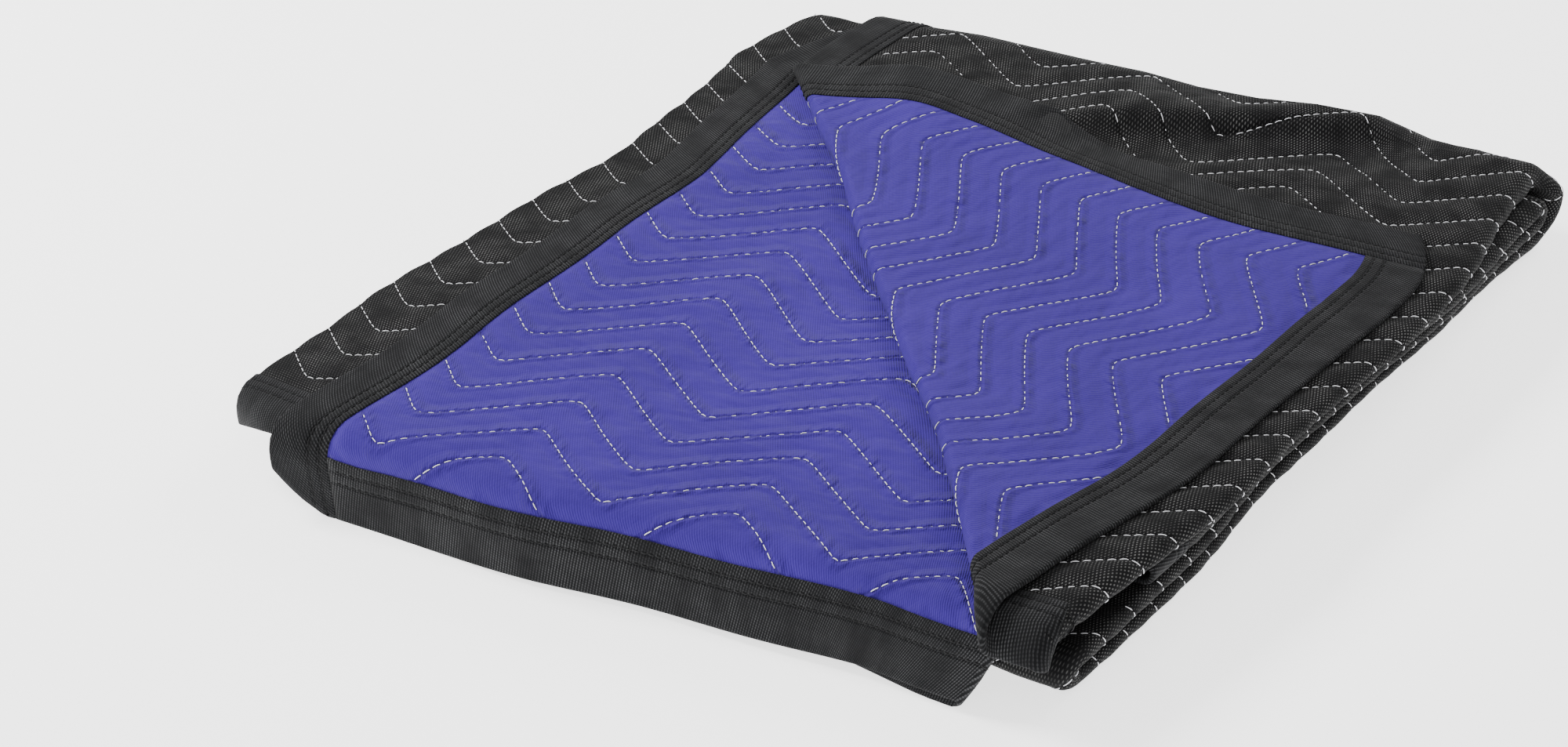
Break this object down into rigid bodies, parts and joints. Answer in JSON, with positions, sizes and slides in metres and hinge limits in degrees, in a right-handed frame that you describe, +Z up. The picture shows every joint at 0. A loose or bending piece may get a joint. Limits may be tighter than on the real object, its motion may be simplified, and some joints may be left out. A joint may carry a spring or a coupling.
{
  "type": "moving blanket",
  "caption": "Quilted moving blanket folded into a flat rectangular stack, with bound edges and a corner turned back to show its other face.",
  "frame": {"origin": "centre of the bounding box's underside, on the surface that the folded stack lies on", "axes": "+X runs to the right along the stack's front edge, +Y to its back, +Z up"},
  "size_m": [0.4844, 0.5348, 0.0573],
  "materials": {
    "quilted_cloth": "matte woven cloth, blue on one face and black on the other",
    "binding_tape": "matte ribbed black tape"
  },
  "bodies": {
    "root": {"quilted_cloth": "quilted_cloth", "binding_top_side": "binding_tape", "binding_page_side": "binding_tape", "binding_front": "binding_tape", "binding_last": "binding_tape"}
  },
  "joints": []
}
